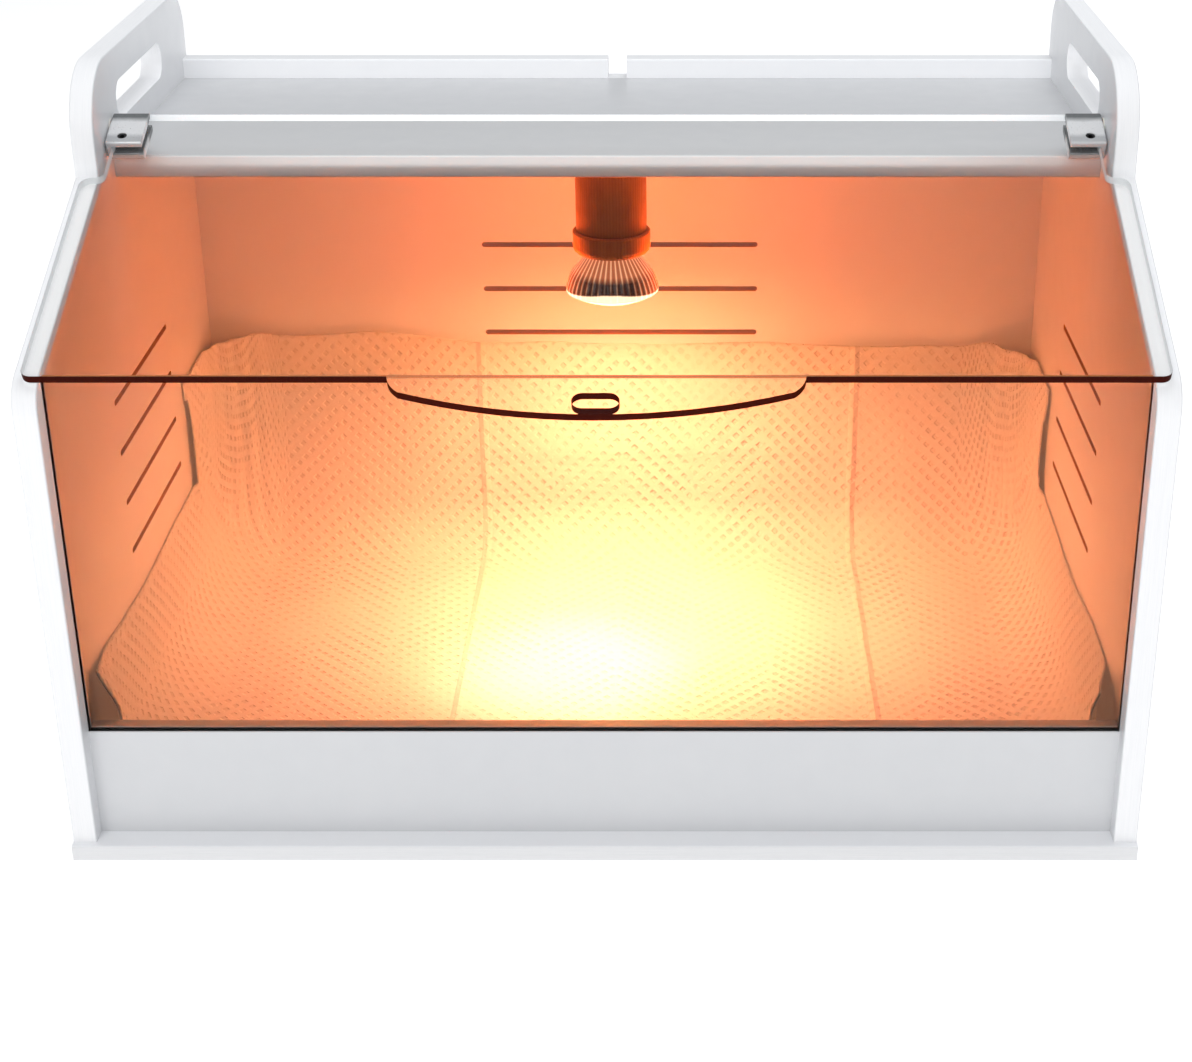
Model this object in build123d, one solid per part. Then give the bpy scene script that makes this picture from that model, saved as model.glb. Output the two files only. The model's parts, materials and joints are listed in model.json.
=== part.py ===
from build123d import *
import os
from math import radians, tan

# Chick brooder cabinet with a heat lamp, modelled in millimetres.
# +Z is up, -Y is the front, and the origin is the centre of the base board's underside.

# ---- Cabinet boards ----
WIDTH = 540.0
BOARD = 12.0
BASE_THICK = 9.0
BASE_DEPTH = 368.0
BASE_STEP = 4.0                       # the base shows this much in front of the side panels
EDGE_RADIUS = 1.0
HALF_WIDTH = WIDTH / 2
INNER_X = HALF_WIDTH - BOARD
FRONT_Y = -BASE_DEPTH / 2 + BASE_STEP
REAR_Y = BASE_DEPTH / 2
SLOPE = 22.0                          # lid slope in degrees
KNEE_Z = 254.4
KNEE_RADIUS = 18.0
EAR_FRONT_Y = -33.8
EAR_TOP_Z = 367.6
EAR_FRONT_RADIUS = 35.0
EAR_REAR_RADIUS = 24.0
BACK_TOP_Z = 327.6
BACK_FRONT_Y = REAR_Y - BOARD
TOP_BOARD_Z = 304.3                   # underside of the top board
TOP_BOARD_FRONT_Y = -1.0
FRONT_RECESS = 10.0
FRONT_BOARD_TOP_Z = 67.7
FRONT_BOARD_Y = FRONT_Y + FRONT_RECESS

# ---- Ventilation slots, hand slots and cord notch ----
SLOT_HEIGHT = 3.2
SLOT_PITCH = 28.5
SIDE_SLOT_COUNT = 4
SIDE_SLOT_LENGTH = 121.0
SIDE_SLOT_Y = 6.0
SIDE_SLOT_TOP_Z = 197.9
BACK_SLOT_COUNT = 3
BACK_SLOT_LENGTH = 170.0
BACK_SLOT_TOP_Z = 213.2
HAND_SLOT_LENGTH = 105.0
HAND_SLOT_HEIGHT = 20.0
HAND_SLOT_Y = 69.0
HAND_SLOT_Z = 340.0
NOTCH_WIDTH = 11.0

# ---- Clear panes ----
PANE = 4.0
LID_FRONT_Y = -175.1                  # lower front edge of the lid
LID_GAP = 0.3                         # air under the closed lid
LID_LENGTH = 200.0
LID_HALF_WIDTH = 265.3
LID_NECK_HALF = 254.0                 # half width between the ears
LID_WIDE_LENGTH = 147.0
NECK_OVERLAP = 27.0                   # the neck's plate starts this far inside the wide part
LID_CORNER = 5.0
NECK_OUTER_RADIUS = 6.5
NECK_INNER_RADIUS = 4.0
TAB_HALF = 96.5
TAB_DROP = 25.0
TAB_ARC_RADIUS = 290.0
TAB_CORNER = 12.0
TAB_CURL = 1.6                        # how far the tab's ends curl in half way up
FINGER_LENGTH = 22.0
FINGER_WIDTH = 10.0
FINGER_FROM_EDGE = 16.0
WINDOW_Y = FRONT_BOARD_Y + 1.0
WINDOW_TOP_Z = 256.6

# ---- Floor liner: a cloth that climbs the side walls and the back wall ----
LINER_THICK = 1.5
LINER_GAP = 1.5
LINER_BEND = 38.0                     # radius between the floor and the walls
LINER_CORNER = 42.0                   # radius between the back wall and the side walls
LINER_SIDE_Z = 92.0
LINER_BACK_Z = 153.0
LINER_WRAP_Y = 87.0                   # the high part reaches forward to here along the sides

# ---- Lid hinges ----
CLAMP_X_IN = 238.5
CLAMP_X_OUT = 257.0
CLAMP_LENGTH = 25.5
CLAMP_REAR = 197.0                    # distance of the clamp's rear end from the lid's front edge
JAW = 3.2
PAD = 0.5
CLAMP_ROUND = 1.6
CLAMP_CHAMFER = 0.6
CLAMP_CLEAR = 0.2                     # between the lid's side edge and the clamp
CLAMP_SCREW_X = 249.0
CLAMP_SCREW_BACK = 20.0               # from the clamp's rear end
CLAMP_SCREW_RADIUS = 2.5
CLAMP_SCREW_HEX = 2.5
CLAMP_SCREW_FLOOR = 0.8
CLAMP_SCREW_SINK = 0.5
PAD_INSET = 0.5
PAD_END = 1.0
PIN_BACK = 6.0                        # pin axis from the clamp's rear end
PIN_RADIUS = 2.0
PIN_OUT_X = 264.5
PIN_CHAMFER = 0.4
BUSH_RADIUS = 4.0
BUSH_CLEAR = 0.05
BUSH_FLANGE_RADIUS = 5.5
BUSH_FLANGE = 0.7
BUSH_DEPTH = 8.0
BUSH_END = 1.0

# ---- Lampholder ----
LAMP_Y = 38.0
CORD_Z = 294.0                        # centre of the grommet in the back panel
CORD_HOLE_RADIUS = 4.0
CORD_GROOVE = 6.0                     # width and height of the conductors' grooves in the holder
CORD_GROOVE_X = 5.8
GROMMET_RADIUS = 6.0
GROMMET_FLANGE_RADIUS = 8.5
GROMMET_FLANGE = 1.2
GROMMET_ROUND = 0.4
COVER_RADIUS = 19.4
COVER_WALL = 2.0
COVER_BOTTOM_Z = 264.5
COVER_CHAMFER = 0.6
COVER_NECK_RADIUS = 18.0
COVER_NECK_WALL = 1.6
COVER_NECK_Z = 255.5
RING_RADIUS = 21.4
RING_BOTTOM_Z = 252.0
RING_LIP = 3.0
RING_LIP_RADIUS = 16.2
RING_CHAMFER = 0.8
RING_CURVE = [(0.0, 3.6), (0.5, 1.8), (1.7, 0.5), (3.3, 0.0)]   # (inward, up) at the lower edge
HOLDER_BASE_THICK = 8.0
CORE_RADIUS = 15.9
CORE_BOTTOM_Z = 261.0
CORE_TOP_Z = 290.0
CORE_SLAB = 5.0
SHELL_RADIUS = 13.7
SHELL_WALL = 0.4
POST_Y = 9.5
POST_RADIUS = 3.5
SHELL_GAP = 0.4
CORE_SCREW_RADIUS = 1.3
CORE_SCREW_HEAD = 2.4
CORE_SCREW_HEAD_HEIGHT = 1.6
CORE_SCREW_STOP = 2.0                 # the screws end this far below the top board
MOUNT_SCREW_X = 12.5
MOUNT_SCREW_LENGTH = 16.0
MOUNT_SCREW_RADIUS = 1.6
MOUNT_SCREW_HEAD = 3.2
CONTACT_WIDTH = 5.0
CONTACT_THICK = 0.5
CONTACT_BACK_X = -7.0
CONTACT_BEND_X = -3.5
CONTACT_TIP_X = (0.5, 3.5)
CONTACT_GAP = 0.3                     # between the contact and the bulb's tip
RIVET_X = -5.5
RIVET_RADIUS = 1.0
TERMINAL_X = 9.5
TERMINAL_SIZE = (5.0, 6.0, 4.6)
TERMINAL_LIFT = 0.7
TERMINAL_BORE = 0.9
TERMINAL_BORE_UP = 2.4
TERMINAL_SCREW_RADIUS = 0.8
TERMINAL_SCREW_FROM = 3.2
TERMINAL_SCREW_TO = 6.0

# ---- Reflector bulb, E27 cap ----
REFLECTOR = [                         # (radius, height) of the outside, from the rim to the neck
    (25.5, 230.0),
    (25.4, 233.5),
    (22.8, 240.0),
    (18.2, 246.2),
    (14.4, 251.2),
    (12.5, 255.0),
    (12.3, 257.5),
]
RIM_RADIUS, RIM_Z = REFLECTOR[0]
LENS_DROP = 7.0
LENS_EXTRA = 0.3                      # the lens is this much thicker than the reflector
GLASS = 1.1
CAP_BOTTOM_Z = 256.0
CAP_TOP_Z = 277.5
CAP_CREST_RADIUS = 13.15
CAP_ROOT_RADIUS = 12.15
CAP_WALL = 0.35
CAP_SKIRT = 0.85
CAP_SKIRT_HEIGHT = 4.5
CAP_SHOULDER = 0.8
THREAD_PITCH = 3.63
THREAD_TURNS = 4
THREAD_FLANK = 0.25
INSULATOR = [(11.2, 0.0), (10.6, 1.2), (5.2, 3.4)]              # (radius, height above the cap)
INSULATOR_HEIGHT = 3.4
TIP_RADIUS = 4.6
TIP_CROWN = 2.6
TIP_EDGE = 0.5
TIP_Z = 282.3
STEM = [(3.2, 250.0), (3.6, 256.0), (9.0, 262.0), (9.0, 263.0)]
LEAD_X = 2.0
LEAD_RADIUS = 0.35
LEAD_BOTTOM_Z = 241.6
FILAMENT_RADIUS = 0.33

# ---- Fasteners ----
SCREW_RADIUS = 1.9
SCREW_HEAD_RADIUS = 3.8
SCREW_LENGTH = 30.0
SCREW_SINK = 0.5
SCREW_POINT = 4.0
RECESS_WIDTH = 1.0
RECESS_DEPTH = 1.2
RECESS_SPAN = 0.6                     # half length of the cross, as a share of the head's radius
SIDE_SCREW_Y = (-150, 0, 150)
CROSS_SCREW_X = (-190, 0, 190)
DOWEL_RADIUS = 3.0
DOWEL_IN_PANEL = 8.0
DOWEL_IN_BOARD = 16.0
DOWEL_PLACES = [                      # (Y, Z)
    (30, 310.3),
    (140, 310.3),
    (178, 60),
    (178, 150),
    (178, 250),
    (-164, 38),
]


def block(x0, x1, y0, y1, z0, z1):
    """Box between two corners."""
    box = Box(x1 - x0, y1 - y0, z1 - z0, align=(Align.MIN, Align.MIN, Align.MIN))
    return Pos(x0, y0, z0) * box


def tube_z(x, y, z0, z1, outer, inner=0.0):
    """Upright cylinder or tube."""
    flat = Circle(outer) - Circle(inner) if inner else Circle(outer)
    return Pos(x, y, z0) * extrude(flat, z1 - z0)


def turned(points, y=0.0):
    """Solid turned about a vertical axis from (radius, height) points."""
    outline = make_face(Polyline(*[(r, 0, z) for r, z in points], close=True))
    return Pos(0, y, 0) * revolve(outline, Axis.Z, 360)


def rod_x(x0, x1, y, z, radius):
    """Cylinder along X."""
    return Pos(x0, y, z) * extrude(Plane.YZ * Circle(radius), x1 - x0)


def tube_y(y0, y1, outer, inner=0.0):
    """Cylinder or tube along Y at the cord's outlet."""
    flat = Circle(outer) - Circle(inner) if inner else Circle(outer)
    return Pos(0, y1, CORD_Z) * extrude(Plane.XZ * flat, y1 - y0)


def wood_screw(length, radius, head):
    """Countersunk screw, head face at Z 0, pointing up, with a cross recess."""
    cone = head - radius
    profile = [(0, 0), (head, 0), (radius, cone), (radius, length - SCREW_POINT), (0, length)]
    half = RECESS_WIDTH / 2
    span = head * RECESS_SPAN
    cross = block(-half, half, -span, span, 0, RECESS_DEPTH)
    cross += block(-span, span, -half, half, 0, RECESS_DEPTH)
    return turned(profile), turned(profile) - cross


def side_slot(length, height, y, z):
    """Round-ended slot cutter that runs along Y and goes through in X."""
    flat = Plane.YZ * SlotOverall(length, height)
    return Pos(-HALF_WIDTH - 1, y, z) * extrude(flat, WIDTH + 2)


def lid_frame():
    """Place and tilt of the lid: local +Y runs up the slope, +Z out of the lid."""
    z = KNEE_Z + (LID_FRONT_Y - FRONT_Y) * tan(radians(SLOPE)) + LID_GAP
    return Pos(0, LID_FRONT_Y, z) * Rot(SLOPE, 0, 0)


def pin_axis():
    """(Y, Z) of the hinge pins in the cabinet's frame."""
    along = CLAMP_REAR - PIN_BACK
    up = PANE / 2
    place = (lid_frame() * Pos(0, along, up)).position
    return place.Y, place.Z


# ---- Fasteners in the boards ----
def base_screw_places():
    places = []
    for side in (-1, 1):
        for y in SIDE_SCREW_Y:
            places.append((side * (HALF_WIDTH - BOARD / 2), y))
    for x in CROSS_SCREW_X:
        places.append((x, REAR_Y - BOARD / 2))
        places.append((x, FRONT_BOARD_Y + BOARD / 2))
    return places


def base_screws():
    """Plain screws as cutters, and the same screws with their recesses."""
    plain, finished = wood_screw(SCREW_LENGTH, SCREW_RADIUS, SCREW_HEAD_RADIUS)
    cutter = plain + tube_z(0, 0, -SCREW_SINK - 1, 0, SCREW_HEAD_RADIUS)
    places = base_screw_places()
    cutters = [Pos(x, y, SCREW_SINK) * cutter for x, y in places]
    return cutters, [Pos(x, y, SCREW_SINK) * finished for x, y in places]


def panel_dowels():
    """Wooden dowels between the side panels and the boards that stand between them."""
    dowels = []
    for side in (-1, 1):
        for y, z in DOWEL_PLACES:
            start = INNER_X - DOWEL_IN_BOARD
            end = INNER_X + DOWEL_IN_PANEL
            x0, x1 = (start, end) if side > 0 else (-end, -start)
            dowels.append(rod_x(x0, x1, y, z, DOWEL_RADIUS))
    return dowels


# ---- Boards ----
def side_profile():
    """Outline of a side panel in (Y, Z), with a raised ear at the rear."""
    ear_z = KNEE_Z + (EAR_FRONT_Y - FRONT_Y) * tan(radians(SLOPE))
    corners = [
        (FRONT_Y, BASE_THICK),
        (FRONT_Y, KNEE_Z),
        (EAR_FRONT_Y, ear_z),
        (EAR_FRONT_Y, EAR_TOP_Z),
        (REAR_Y, EAR_TOP_Z),
        (REAR_Y, BASE_THICK),
    ]
    radii = [0, KNEE_RADIUS, 0, EAR_FRONT_RADIUS, EAR_REAR_RADIUS, 0]
    face = make_face(Polyline(*corners, close=True))
    for (y, z), radius in zip(corners, radii):
        if radius:
            corner = face.vertices().sort_by_distance((y, z, 0))[0]
            face = fillet(corner, radius)
    return face


def side_panel(side, cutters):
    """Left (-1) or right (1) side panel with vents, hand slot and pivot hole."""
    x0 = INNER_X if side > 0 else -HALF_WIDTH
    panel = Pos(x0, 0, 0) * extrude(Plane.YZ * side_profile(), BOARD)
    along_x = panel.edges().filter_by(Axis.X)
    rims = [edge for edge in panel.edges() if edge not in along_x]
    rims = [edge for edge in rims if edge.bounding_box().max.Z > BASE_THICK + 1]
    panel = fillet(rims, EDGE_RADIUS)
    for index in range(SIDE_SLOT_COUNT):
        z = SIDE_SLOT_TOP_Z - index * SLOT_PITCH
        panel -= side_slot(SIDE_SLOT_LENGTH, SLOT_HEIGHT, SIDE_SLOT_Y, z)
    panel -= side_slot(HAND_SLOT_LENGTH, HAND_SLOT_HEIGHT, HAND_SLOT_Y, HAND_SLOT_Z)
    y, z = pin_axis()
    end = INNER_X + BUSH_DEPTH + BUSH_END
    x0, x1 = (INNER_X, end) if side > 0 else (-end, -INNER_X)
    panel -= rod_x(x0, x1, y, z, BUSH_RADIUS)
    return panel - cutters


def base_board(cutters):
    board = block(-HALF_WIDTH, HALF_WIDTH, -BASE_DEPTH / 2, BASE_DEPTH / 2, 0, BASE_THICK)
    front = board.edges().filter_by(Axis.X).group_by(Axis.Y)[0]
    return fillet(front, EDGE_RADIUS) - cutters


def back_panel(cutters):
    """Rear board; it stands above the top board as an upstand with the cord notch."""
    panel = block(-INNER_X, INNER_X, BACK_FRONT_Y, REAR_Y, BASE_THICK, BACK_TOP_Z)
    panel = fillet(panel.edges().filter_by(Axis.X).group_by(Axis.Z)[-1], EDGE_RADIUS)
    for index in range(BACK_SLOT_COUNT):
        z = BACK_SLOT_TOP_Z - index * SLOT_PITCH
        flat = Plane.XZ * SlotOverall(BACK_SLOT_LENGTH, SLOT_HEIGHT)
        panel -= Pos(0, REAR_Y + 1, z) * extrude(flat, BOARD + 2)
    half = NOTCH_WIDTH / 2
    notch = block(-half, half, BACK_FRONT_Y - 1, REAR_Y + 1, TOP_BOARD_Z + BOARD, BACK_TOP_Z + 1)
    panel -= tube_y(BACK_FRONT_Y - 1, REAR_Y + 1, GROMMET_RADIUS)
    return panel - notch - cutters


def top_board(cutters):
    top = TOP_BOARD_Z + BOARD
    board = block(-INNER_X, INNER_X, TOP_BOARD_FRONT_Y, BACK_FRONT_Y, TOP_BOARD_Z, top)
    return fillet(board.edges().filter_by(Axis.X).group_by(Axis.Y)[0], EDGE_RADIUS) - cutters


def front_board(cutters):
    y1 = FRONT_BOARD_Y + BOARD
    board = block(-INNER_X, INNER_X, FRONT_BOARD_Y, y1, BASE_THICK, FRONT_BOARD_TOP_Z)
    top_front = board.edges().filter_by(Axis.X).group_by(Axis.Z)[-1].sort_by(Axis.Y)[0]
    return fillet(top_front, EDGE_RADIUS / 2) - cutters


def front_window():
    return block(-INNER_X, INNER_X, WINDOW_Y, WINDOW_Y + PANE, FRONT_BOARD_TOP_Z, WINDOW_TOP_Z)


def liner_form(inset):
    """Trough with rounded lower edges, open to the front; inset moves its faces inwards."""
    half = INNER_X - LINER_GAP - inset
    y0 = FRONT_BOARD_Y + BOARD + LINER_GAP
    y1 = BACK_FRONT_Y - LINER_GAP - inset
    z0 = BASE_THICK + inset
    form = block(-half, half, y0 - LINER_BEND, y1, z0, LINER_BACK_Z + LINER_BEND)
    form = fillet(form.edges().filter_by(Axis.Z).group_by(Axis.Y)[-1], LINER_CORNER - inset)
    form = fillet(form.faces().sort_by(Axis.Z)[0].edges(), LINER_BEND - inset)
    return form & block(-half, half, y0, y1, z0, LINER_BACK_Z)


def floor_liner():
    """Loose cloth over the floor, curved up against both sides and the back."""
    shell = liner_form(0.0) - liner_form(LINER_THICK)
    above = block(-INNER_X, INNER_X, FRONT_Y, LINER_WRAP_Y, LINER_SIDE_Z, LINER_BACK_Z + 1)
    return shell - above


# ---- Lid ----
def tab_outline():
    """Front tab: a long shallow arc whose ends curl up into the lid's front edge."""
    drop_at_end = TAB_ARC_RADIUS - (TAB_ARC_RADIUS**2 - (TAB_HALF - TAB_CORNER / 2) ** 2) ** 0.5
    shoulder = (TAB_HALF - TAB_CORNER / 2, -(TAB_DROP - drop_at_end))
    low = ThreePointArc((-shoulder[0], shoulder[1]), (0, -TAB_DROP), shoulder)
    side = (TAB_HALF - TAB_CURL, shoulder[1] / 2)
    right = ThreePointArc(shoulder, side, (TAB_HALF, 0))
    left = ThreePointArc((-TAB_HALF, 0), (-side[0], side[1]), (-shoulder[0], shoulder[1]))
    close = Line((TAB_HALF, 0), (-TAB_HALF, 0))
    return make_face([low, right, close, left])


def lid():
    """Clear plate, wide over the side panels and narrower between the ears."""
    wide = Pos(0, LID_WIDE_LENGTH / 2) * Rectangle(2 * LID_HALF_WIDTH, LID_WIDE_LENGTH)
    fronts = wide.vertices().group_by(Axis.Y)[0]
    wide = fillet(fronts, LID_CORNER)
    wide = fillet(wide.vertices().group_by(Axis.Y)[-1], NECK_OUTER_RADIUS)
    neck_start = LID_WIDE_LENGTH - NECK_OVERLAP
    neck = Rectangle(2 * LID_NECK_HALF, LID_LENGTH - neck_start)
    plate = wide + Pos(0, (LID_LENGTH + neck_start) / 2) * neck
    for x in (-LID_NECK_HALF, LID_NECK_HALF):
        corner = plate.vertices().sort_by_distance((x, LID_WIDE_LENGTH, 0))[0]
        plate = fillet(corner, NECK_INNER_RADIUS)
    plate += tab_outline()
    plate -= Pos(0, -FINGER_FROM_EDGE) * SlotOverall(FINGER_LENGTH, FINGER_WIDTH)
    return lid_frame() * extrude(plate, PANE)


# ---- Lid hinges ----
def mirrored(solid, side):
    return solid if side > 0 else mirror(solid, Plane.YZ)


def clamp_screw_place():
    """Local place of the clamp screw: its axis stands square on the lid."""
    return Pos(CLAMP_SCREW_X, CLAMP_REAR - CLAMP_SCREW_BACK, PANE + PAD)


def hinge_clamp(side):
    """Metal clamp folded round the lid's side edge, closed at its outer end."""
    y0 = CLAMP_REAR - CLAMP_LENGTH
    z0 = -PAD - JAW
    z1 = PANE + PAD + JAW
    body = block(CLAMP_X_IN, CLAMP_X_OUT, y0, CLAMP_REAR, z0, z1)
    body = fillet(body.edges().filter_by(Axis.X), CLAMP_ROUND)
    body = chamfer(body.edges().filter_by(Axis.Y).group_by(Axis.X)[-1], CLAMP_CHAMFER)
    mouth = LID_NECK_HALF + CLAMP_CLEAR
    body -= block(CLAMP_X_IN - 1, mouth, y0 - 1, CLAMP_REAR + 1, -PAD, PANE + PAD)
    body -= clamp_screw_place() * extrude(Circle(CLAMP_SCREW_RADIUS), JAW + 1)
    bore = rod_x(mouth, CLAMP_X_OUT + 1, CLAMP_REAR - PIN_BACK, PANE / 2, PIN_RADIUS)
    return mirrored(lid_frame() * (body - bore), side)


def hinge_pads(side):
    """Rubber pads between the jaws and the lid."""
    x0 = CLAMP_X_IN + PAD_INSET
    x1 = LID_NECK_HALF - PAD_INSET
    y0 = CLAMP_REAR - CLAMP_LENGTH + PAD_END
    pads = []
    for z0 in (-PAD, PANE):
        pad = block(x0, x1, y0, CLAMP_REAR - PAD_END, z0, z0 + PAD)
        pads.append(mirrored(lid_frame() * pad, side))
    return pads


def clamp_screw(side):
    """Socket set screw that presses the upper pad on the lid."""
    screw = extrude(Circle(CLAMP_SCREW_RADIUS), JAW - CLAMP_SCREW_SINK)
    socket = RegularPolygon(CLAMP_SCREW_HEX / 2, 6, major_radius=False)
    screw -= Pos(0, 0, CLAMP_SCREW_FLOOR) * extrude(socket, JAW)
    return mirrored(lid_frame() * (clamp_screw_place() * screw), side)


def hinge_pin(side):
    """Steel pin pressed into the clamp, with a chamfered free end."""
    x0 = LID_NECK_HALF + CLAMP_CLEAR
    pin = rod_x(x0, PIN_OUT_X, CLAMP_REAR - PIN_BACK, PANE / 2, PIN_RADIUS)
    pin = chamfer(pin.edges().group_by(Axis.X)[-1], PIN_CHAMFER)
    return mirrored(lid_frame() * pin, side)


def pivot_bush(side):
    """Flanged plastic bush in the ear, blind at its outer end."""
    y, z = pin_axis()
    end = INNER_X + BUSH_DEPTH + BUSH_END
    bush = rod_x(INNER_X, end, y, z, BUSH_RADIUS)
    bush += rod_x(INNER_X - BUSH_FLANGE, INNER_X, y, z, BUSH_FLANGE_RADIUS)
    bush -= rod_x(INNER_X - 2, INNER_X + BUSH_DEPTH, y, z, PIN_RADIUS + BUSH_CLEAR)
    return mirrored(bush, side)


# ---- Lampholder ----
def cord_grommet():
    """Rubber ring that lines the cord's way through the back panel, flanged inside."""
    inside = BACK_FRONT_Y - GROMMET_FLANGE
    flange = tube_y(inside, BACK_FRONT_Y, GROMMET_FLANGE_RADIUS, CORD_HOLE_RADIUS)
    flange = fillet(flange.edges().group_by(Axis.Y)[0], GROMMET_ROUND)
    return flange + tube_y(BACK_FRONT_Y, REAR_Y, GROMMET_RADIUS, CORD_HOLE_RADIUS)


def cord_way():
    """Cutter from the base's bore to the rear: one groove each side of the rear screw."""
    x1 = CORD_GROOVE_X + CORD_GROOVE / 2
    y0 = LAMP_Y - CORD_HOLE_RADIUS
    z0 = TOP_BOARD_Z - CORD_GROOVE
    room = block(-x1, x1, y0, LAMP_Y + CORD_HOLE_RADIUS, z0, TOP_BOARD_Z)
    groove = block(x1 - CORD_GROOVE, x1, y0, LAMP_Y + COVER_RADIUS, z0, TOP_BOARD_Z)
    return room + groove + mirror(groove, Plane.YZ)


def holder_cover():
    """Outer casing of the lampholder, with a neck that carries the ring."""
    inner = COVER_RADIUS - COVER_WALL
    neck_inner = COVER_NECK_RADIUS - COVER_NECK_WALL
    cover = turned([
        (inner, TOP_BOARD_Z),
        (COVER_RADIUS, TOP_BOARD_Z),
        (COVER_RADIUS, COVER_BOTTOM_Z + COVER_CHAMFER),
        (COVER_RADIUS - COVER_CHAMFER, COVER_BOTTOM_Z),
        (COVER_NECK_RADIUS, COVER_BOTTOM_Z),
        (COVER_NECK_RADIUS, COVER_NECK_Z),
        (neck_inner, COVER_NECK_Z),
        (neck_inner, COVER_BOTTOM_Z + COVER_WALL),
        (inner, COVER_BOTTOM_Z + COVER_WALL + 1),
    ], y=LAMP_Y)
    return cover - cord_way()


def holder_ring():
    """Wider screw ring at the mouth, rounded at its lower edge."""
    top = COVER_BOTTOM_Z
    bottom = RING_BOTTOM_Z
    lower_edge = [(RING_RADIUS - inward, bottom + up) for inward, up in RING_CURVE]
    return turned([
        (COVER_NECK_RADIUS, top),
        (RING_RADIUS - RING_CHAMFER, top),
        (RING_RADIUS, top - RING_CHAMFER),
        *lower_edge,
        (RING_LIP_RADIUS, bottom),
        (RING_LIP_RADIUS, bottom + RING_LIP),
        (COVER_NECK_RADIUS, bottom + RING_LIP),
    ], y=LAMP_Y)


def holder_base():
    """Moulded disc fixed under the top board, with a bore and grooves for the cord."""
    radius = COVER_RADIUS - COVER_WALL
    bottom = TOP_BOARD_Z - HOLDER_BASE_THICK
    return tube_z(0, LAMP_Y, bottom, TOP_BOARD_Z, radius, CORD_HOLE_RADIUS) - cord_way()


def socket_core():
    """Ceramic cup that holds the screw shell and stands on two posts."""
    core = tube_z(0, LAMP_Y, CORE_BOTTOM_Z, CORE_TOP_Z, CORE_RADIUS)
    core -= tube_z(0, LAMP_Y, CORE_BOTTOM_Z, CORE_TOP_Z - CORE_SLAB, SHELL_RADIUS)
    seat = TOP_BOARD_Z - HOLDER_BASE_THICK
    for side in (-1, 1):
        core += tube_z(0, LAMP_Y + side * POST_Y, CORE_TOP_Z, seat, POST_RADIUS)
    return core


def screw_shell():
    """Brass shell of the E27 socket."""
    top = CORE_TOP_Z - CORE_SLAB - SHELL_GAP
    inner = SHELL_RADIUS - SHELL_WALL
    return tube_z(0, LAMP_Y, CORE_BOTTOM_Z + 1, top, SHELL_RADIUS, inner)


def centre_contact():
    """Sprung bronze strip over the bulb's tip, riveted through the core."""
    top = CORE_TOP_Z - CORE_SLAB
    low = TIP_Z + CONTACT_GAP
    near, far = CONTACT_TIP_X
    outline = Polyline(
        (CONTACT_BACK_X, top),
        (CONTACT_BACK_X, top - CONTACT_THICK),
        (CONTACT_BEND_X, top - CONTACT_THICK),
        (near, low),
        (far, low),
        (far, low + CONTACT_THICK),
        (near - CONTACT_GAP, low + CONTACT_THICK),
        (CONTACT_BEND_X + CONTACT_THICK, top),
        close=True,
    )
    strip = extrude(Plane.XZ * make_face(outline), CONTACT_WIDTH)
    strip = Pos(0, LAMP_Y + CONTACT_WIDTH / 2, 0) * strip
    rivet_end = CONTACT_THICK + CONTACT_GAP
    return strip + tube_z(RIVET_X, LAMP_Y, top - rivet_end, CORE_TOP_Z + CONTACT_THICK, RIVET_RADIUS)


def terminal_blocks():
    """Brass blocks for the two conductors, on top of the core."""
    wide, deep, tall = TERMINAL_SIZE
    bottom = CORE_TOP_Z + TERMINAL_LIFT
    from_z = CORE_TOP_Z + TERMINAL_SCREW_FROM
    blocks = []
    for side in (-1, 1):
        x = side * TERMINAL_X
        x0 = x - wide / 2
        part = block(x0, x0 + wide, LAMP_Y - deep / 2, LAMP_Y + deep / 2, bottom, bottom + tall)
        part -= rod_x(x0 - 1, x0 + wide + 1, LAMP_Y, CORE_TOP_Z + TERMINAL_BORE_UP, TERMINAL_BORE)
        part -= tube_z(x, LAMP_Y, from_z, bottom + tall + 1, TERMINAL_SCREW_RADIUS)
        blocks.append(part)
    return blocks


def terminal_screws():
    """Small screws that hold the conductors in the terminal blocks."""
    z0 = CORE_TOP_Z + TERMINAL_SCREW_FROM
    z1 = CORE_TOP_Z + TERMINAL_SCREW_TO
    places = (-TERMINAL_X, TERMINAL_X)
    return [tube_z(x, LAMP_Y, z0, z1, TERMINAL_SCREW_RADIUS) for x in places]


def core_screws():
    """Screws from inside the socket that fix the core to the holder's base."""
    start = CORE_TOP_Z - CORE_SLAB
    end = TOP_BOARD_Z - CORE_SCREW_STOP
    screws = []
    for side in (-1, 1):
        y = LAMP_Y + side * POST_Y
        screw = tube_z(0, y, start, end, CORE_SCREW_RADIUS)
        screw += tube_z(0, y, start, start + CORE_SCREW_HEAD_HEIGHT, CORE_SCREW_HEAD)
        screws.append(screw)
    return screws


def mounting_screws():
    """Wood screws that fix the holder's base under the top board."""
    plain, finished = wood_screw(MOUNT_SCREW_LENGTH, MOUNT_SCREW_RADIUS, MOUNT_SCREW_HEAD)
    z = TOP_BOARD_Z - HOLDER_BASE_THICK
    places = [Pos(x, LAMP_Y, z) for x in (-MOUNT_SCREW_X, MOUNT_SCREW_X)]
    return [place * plain for place in places], [place * finished for place in places]


# ---- Reflector bulb ----
def bulb_reflector():
    """Pressed glass reflector, a thin dome from the rim to the cap."""
    outer = [(r, 0, z) for r, z in REFLECTOR]
    inner = [(r - GLASS, 0, z) for r, z in reversed(REFLECTOR)]
    outside = Spline(*outer)
    inside = Spline(*inner)
    top = Line(outer[-1], inner[0])
    bottom = Line(inner[-1], outer[0])
    return Pos(0, LAMP_Y, 0) * revolve(make_face([outside, top, inside, bottom]), Axis.Z, 360)


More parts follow.
